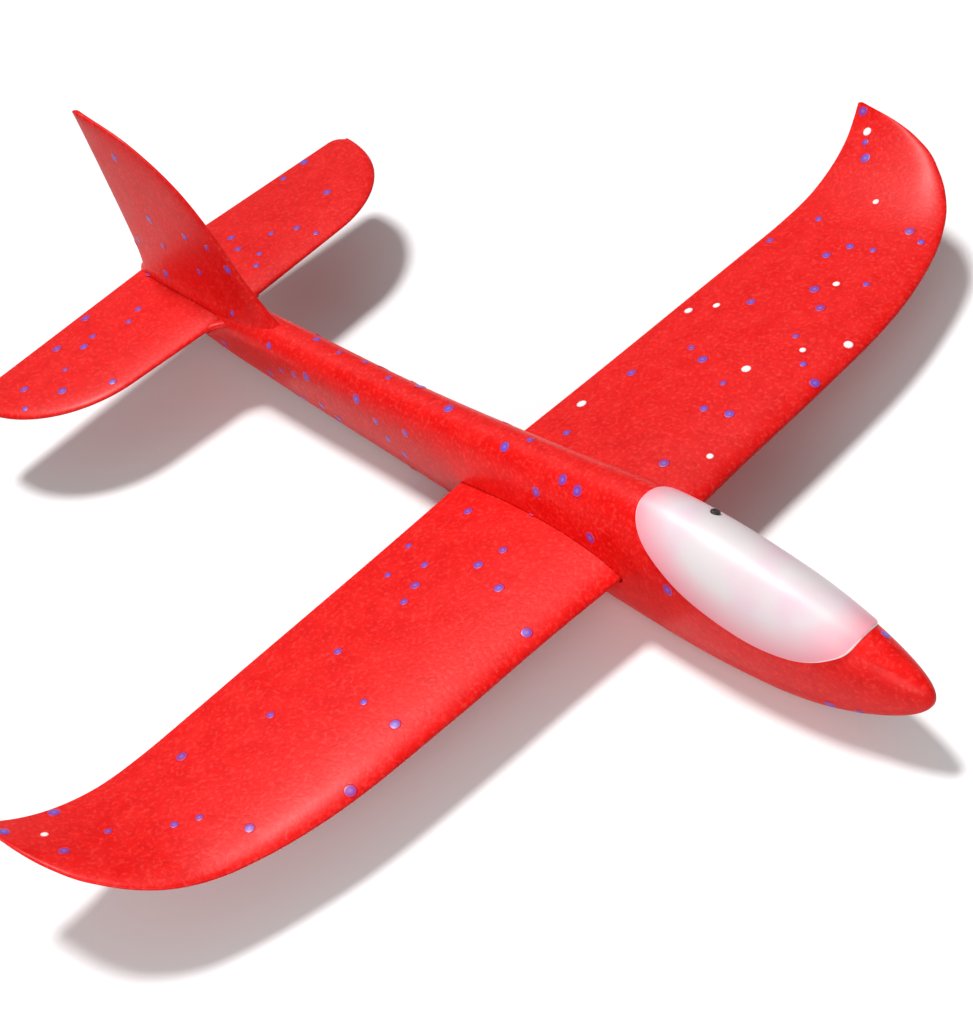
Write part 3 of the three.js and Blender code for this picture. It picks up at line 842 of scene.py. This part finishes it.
# Violet-blue polypropylene beads under the same moulded skin: each is bluest in a ring round a
# paler heart, and melts into the red around it.
BEAD_BLUE, BEAD_VIOLET = "#5048c8", "#7f35a0"
BEAD_HEART, BEAD_EDGE = "#b06fc0", "#e20b0c"
violet = bpy.data.materials.new("violet_foam_bead")
add = adder(cleared(violet))
tone = add("ShaderNodeAttribute", {"attribute_name": "bead_tone"})
ring = add("ShaderNodeAttribute", {"attribute_name": "from_centre"})
coords = add("ShaderNodeTexCoord").outputs["Object"]
grain = add("ShaderNodeTexNoise", {"Scale": 1 / (0.7 * MM), "Detail": 3.0}, Vector=coords)
heart = add("ShaderNodeMix",
            {"data_type": "RGBA", 6: linear(BEAD_BLUE), 7: linear(BEAD_VIOLET)},
            i0=tone.outputs["Fac"])
pale = add("ShaderNodeMapRange", {"From Min": 0.5, "From Max": 0.0, "To Max": 0.7},
           Value=ring.outputs["Fac"])
ringed = add("ShaderNodeMix", {"data_type": "RGBA", 7: linear(BEAD_HEART)},
             i0=pale.outputs["Result"], i6=heart.outputs[2])
fade = add("ShaderNodeMapRange", {"From Min": 0.6, "From Max": 1.0},
           Value=ring.outputs["Fac"])
colour = add("ShaderNodeMix", {"data_type": "RGBA", 7: linear(BEAD_EDGE)},
             i0=fade.outputs["Result"], i6=ringed.outputs[2])
pores = add("ShaderNodeBump", {"Strength": 0.3, "Distance": 0.05 * MM},
            Height=grain.outputs["Fac"])
shader = add("ShaderNodeBsdfPrincipled",
             {"IOR": 1.49, "Roughness": 0.42, "Coat Weight": 0.12, "Coat Roughness": 0.22},
             Base_Color=colour.outputs[2], Normal=pores.outputs["Normal"])
add("ShaderNodeOutputMaterial", {}, Surface=shader.outputs["BSDF"])
violet_beads = bead_tree("violet_bead_scatter", violet)

# White polypropylene beads: undyed, a little translucent.
BEAD_WHITE, BEAD_ROSE = "#fff6f6", "#f7a9a8"
white = bpy.data.materials.new("white_foam_bead")
add = adder(cleared(white))
ring = add("ShaderNodeAttribute", {"attribute_name": "from_centre"})
coords = add("ShaderNodeTexCoord").outputs["Object"]
grain = add("ShaderNodeTexNoise", {"Scale": 1 / (0.7 * MM), "Detail": 3.0}, Vector=coords)
fade = add("ShaderNodeMapRange", {"From Min": 0.7, "From Max": 1.0}, Value=ring.outputs["Fac"])
colour = add("ShaderNodeMix",
             {"data_type": "RGBA", 6: linear(BEAD_WHITE), 7: linear(BEAD_ROSE)},
             i0=fade.outputs["Result"])
pores = add("ShaderNodeBump", {"Strength": 0.3, "Distance": 0.05 * MM},
            Height=grain.outputs["Fac"])
shader = add("ShaderNodeBsdfPrincipled",
             {"IOR": 1.49, "Roughness": 0.45, "Subsurface Weight": 0.15,
              "Subsurface Radius": (0.002, 0.001, 0.001)},
             Base_Color=colour.outputs[2], Normal=pores.outputs["Normal"])
add("ShaderNodeOutputMaterial", {}, Surface=shader.outputs["BSDF"])
white_beads = bead_tree("white_bead_scatter", white)
WHITE_BEAD_RADIUS = 2.0
WHITE_BEAD_PROUD = 0.2

# Where the beads may lie, so that none stands in a seat, a slot or a thin edge.
FIN_EDGE_HALF = 1.3
FIN_FOOT = 2  # height above the crown from which a place counts as the fin
EDGE_CLEARANCE = 2.5
SEAT_LENGTH_CLEARANCE, SEAT_HEIGHT_CLEARANCE = 3, 2.5
OUTER_SKIN_SHARE = 0.94
LEAST_HALF_SIZE = 1
BELLY_CLEARANCE = 1
BOOM_FROM = -100
NOSE_BEAD_SHARE = 0.5
WING_ROOT_CLEAR, TAIL_ROOT_CLEAR = 22, 12
WHITE_THICK_FROM, WHITE_THIN_FROM = 100, 40
WHITE_THIN_SHARE, WHITE_RARE_SHARE = 0.35, 0.08


def clear_of_canopy(place):
    """1 on the moulding's outer skin, 0 inside its seat, well and slots."""
    x, y, z = place
    if rear_x - SEAT_LENGTH_CLEARANCE < x < front_x + SEAT_LENGTH_CLEARANCE:
        turn = rim_turn(min(max(x, rear_x), front_x))
        if z > skin_point(x, turn).z - SEAT_HEIGHT_CLEARANCE:
            return 0
    wide = half_width(x) * nose_cap(x)
    tall = crown_rise(x) if z > centre_height(x) else belly_drop(x)
    reach = tall * nose_cap(x)
    if wide < LEAST_HALF_SIZE or reach < LEAST_HALF_SIZE:
        return 0
    share = (abs(y) / wide) ** SECTION_POWER
    share += (abs(z - centre_height(x)) / reach) ** SECTION_POWER
    return 1 if share > OUTER_SKIN_SHARE and z > BELLY_CLEARANCE else 0


def fuselage_violet(place):
    """Densest on the boom and fin; none in the fin's thin edges."""
    on_fin = place.z > centre_height(place.x) + crown_rise(place.x) + FIN_FOOT
    if on_fin and abs(place.y) < FIN_EDGE_HALF:
        return 0
    return (1.0 if place.x < BOOM_FROM else NOSE_BEAD_SHARE) * clear_of_canopy(place)


def wing_violet(place):
    """Even over the wing outside the slot, and clear of its edges."""
    out = abs(place.y)
    inside = wing_trailing(out) + EDGE_CLEARANCE < place.x < wing_leading(out) - EDGE_CLEARANCE
    return 1.0 if out > WING_ROOT_CLEAR and inside else 0.0


def wing_white(place):
    """Thick on the outer half of the left wing, thin nearer the middle, a rare one on the right."""
    if place.y > WHITE_THICK_FROM:
        return wing_violet(place)
    share = WHITE_THIN_SHARE if place.y > WHITE_THIN_FROM else WHITE_RARE_SHARE
    return share * wing_violet(place)


def tail_violet(place):
    """Even over the tailplane outside the slot, and clear of its edges."""
    out = min(abs(place.y - TAIL_OFFSET), TAIL_HALF_SPAN)
    edges = [x for x, z in tail_outline(out, 2)]
    inside = min(edges) + EDGE_CLEARANCE < place.x < max(edges) - EDGE_CLEARANCE
    return 1.0 if abs(place.y) > TAIL_ROOT_CLEAR and inside else 0.0


scattered("fuselage_violet_beads", fuselage, violet_beads, fuselage_violet, "fuselage", "red_foam",
          **{"Beads per square metre": 3600.0, "Least spacing": 7 * MM,
             "Bead radius": BEAD_RADIUS * MM, "Bead height": BEAD_PROUD * MM, "Seed": 3})
scattered("wing_violet_beads", wing, violet_beads, wing_violet, "wing", "red_foam_wing",
          **{"Beads per square metre": 1900.0, "Least spacing": 8 * MM,
             "Bead radius": BEAD_RADIUS * MM, "Bead height": BEAD_PROUD * MM, "Seed": 11})
scattered("wing_white_beads", wing, white_beads, wing_white, "wing", "red_foam_wing",
          **{"Beads per square metre": 1500.0, "Least spacing": 11 * MM,
             "Bead radius": WHITE_BEAD_RADIUS * MM, "Bead height": WHITE_BEAD_PROUD * MM,
             "Seed": 4})
scattered("tailplane_violet_beads", tailplane, violet_beads, tail_violet,
          "tailplane", "red_foam_tail",
          **{"Beads per square metre": 3400.0, "Least spacing": 7 * MM,
             "Bead radius": BEAD_RADIUS * MM, "Bead height": BEAD_PROUD * MM, "Seed": 8})


# --- Table top, light and camera ---------------------------------------------------------------
# A plain white table top, lit evenly by a large far lamp high on the left, with a soft lamp low on
# each side of the camera to fill the sides and brighten the edges, in a pale room.
FLOOR_HALF = 20.0
FLOOR_Z = -0.0002  # just under the belly
floor_mesh = bpy.data.meshes.new("table_top")
floor_mesh.from_pydata([(-FLOOR_HALF, -FLOOR_HALF, FLOOR_Z), (FLOOR_HALF, -FLOOR_HALF, FLOOR_Z),
                        (FLOOR_HALF, FLOOR_HALF, FLOOR_Z), (-FLOOR_HALF, FLOOR_HALF, FLOOR_Z)],
                       [], [(0, 1, 2, 3)])
floor = placed("table_top", floor_mesh)
floor_finish = bpy.data.materials.new("white_laminate")
add = adder(cleared(floor_finish))
shader = add("ShaderNodeBsdfPrincipled", {"Base Color": linear("#ffffff"), "Roughness": 0.8})
clear = add("ShaderNodeBsdfTransparent")
below = add("ShaderNodeNewGeometry").outputs["Backfacing"]  # the glider shows from underneath
faced = add("ShaderNodeMixShader", {}, i0=below, i1=shader.outputs["BSDF"],
            i2=clear.outputs["BSDF"])
add("ShaderNodeOutputMaterial", {}, Surface=faced.outputs["Shader"])
floor.data.materials.append(floor_finish)
floor.visible_diffuse = False  # so that the red foam doesn't tint its shadow

CAMERA_AZIMUTH, CAMERA_ELEVATION = math.radians(58.93), math.radians(41.28)
CAMERA_ROLL = math.radians(-18.52)
CAMERA_DISTANCE = 782.0
CAMERA_RIGHT, CAMERA_UP = -42.2, 5.9
CAMERA_TARGET = Vector((0, 0, 24))
CAMERA_LENS = 72.72
sin_a, cos_a = math.sin(CAMERA_AZIMUTH), math.cos(CAMERA_AZIMUTH)
sin_e, cos_e = math.sin(CAMERA_ELEVATION), math.cos(CAMERA_ELEVATION)
back = Vector((sin_a * cos_e, -cos_a * cos_e, sin_e))
level_right = Vector((cos_a, sin_a, 0))
level_up = Vector((-sin_e * sin_a, sin_e * cos_a, cos_e))
right = math.cos(CAMERA_ROLL) * level_right + math.sin(CAMERA_ROLL) * level_up
up = -math.sin(CAMERA_ROLL) * level_right + math.cos(CAMERA_ROLL) * level_up
camera_data = bpy.data.cameras.new("camera")
camera_data.lens = CAMERA_LENS
camera_data.sensor_width = 36
camera = bpy.data.objects.new("camera", camera_data)
bpy.context.collection.objects.link(camera)
where = (CAMERA_RIGHT * right + CAMERA_UP * up + CAMERA_DISTANCE * back + CAMERA_TARGET) * MM
facing = Matrix((right, up, back)).transposed().to_4x4()
camera.matrix_world = Matrix.Translation(where) @ facing
bpy.context.scene.camera = camera


def lamp(name, place, size, power):
    """A square soft lamp that faces the glider."""
    data = bpy.data.lights.new(name, "AREA")
    data.shape = "SQUARE"
    data.size = size
    data.energy = power
    thing = bpy.data.objects.new(name, data)
    bpy.context.collection.objects.link(thing)
    thing.location = place
    thing.rotation_euler = (-Vector(place)).to_track_quat("-Z", "Y").to_euler()
    return thing


KEY_POWER, KEY_ANGLE = 2.75, math.radians(13)
EDGE_SIZE, EDGE_POWER = 0.25, 2
FILL_SIZE, FILL_POWER = 0.8, 10
ROOM_LIGHT = 0.22
flat_right = Vector((right.x, right.y, 0)).normalized()
flat_up = Vector((up.x, up.y, 0)).normalized()
key_from = Vector((0, 0, 1.0)) - 0.28 * flat_right + 0.34 * flat_up
key_data = bpy.data.lights.new("key_lamp", "SUN")
key_data.energy = KEY_POWER
key_data.angle = KEY_ANGLE
key = bpy.data.objects.new("key_lamp", key_data)
bpy.context.collection.objects.link(key)
key.rotation_euler = (-key_from).to_track_quat("-Z", "Y").to_euler()
edge_from = 1.4 * (Vector((0, 0, 0.45)) + 0.6 * flat_right - 0.75 * flat_up)
lamp("edge_lamp", edge_from, EDGE_SIZE, EDGE_POWER)
lamp("fill_lamp", 1.3 * Vector((0.45, -0.85, 0.33)), FILL_SIZE, FILL_POWER)

world = bpy.data.worlds.new("pale_room")
bpy.context.scene.world = world
world.use_nodes = True
room = world.node_tree.nodes["Background"]
room.inputs["Color"].default_value = (1, 1, 1, 1)
room.inputs["Strength"].default_value = ROOM_LIGHT
bpy.context.scene.view_settings.view_transform = "Standard"
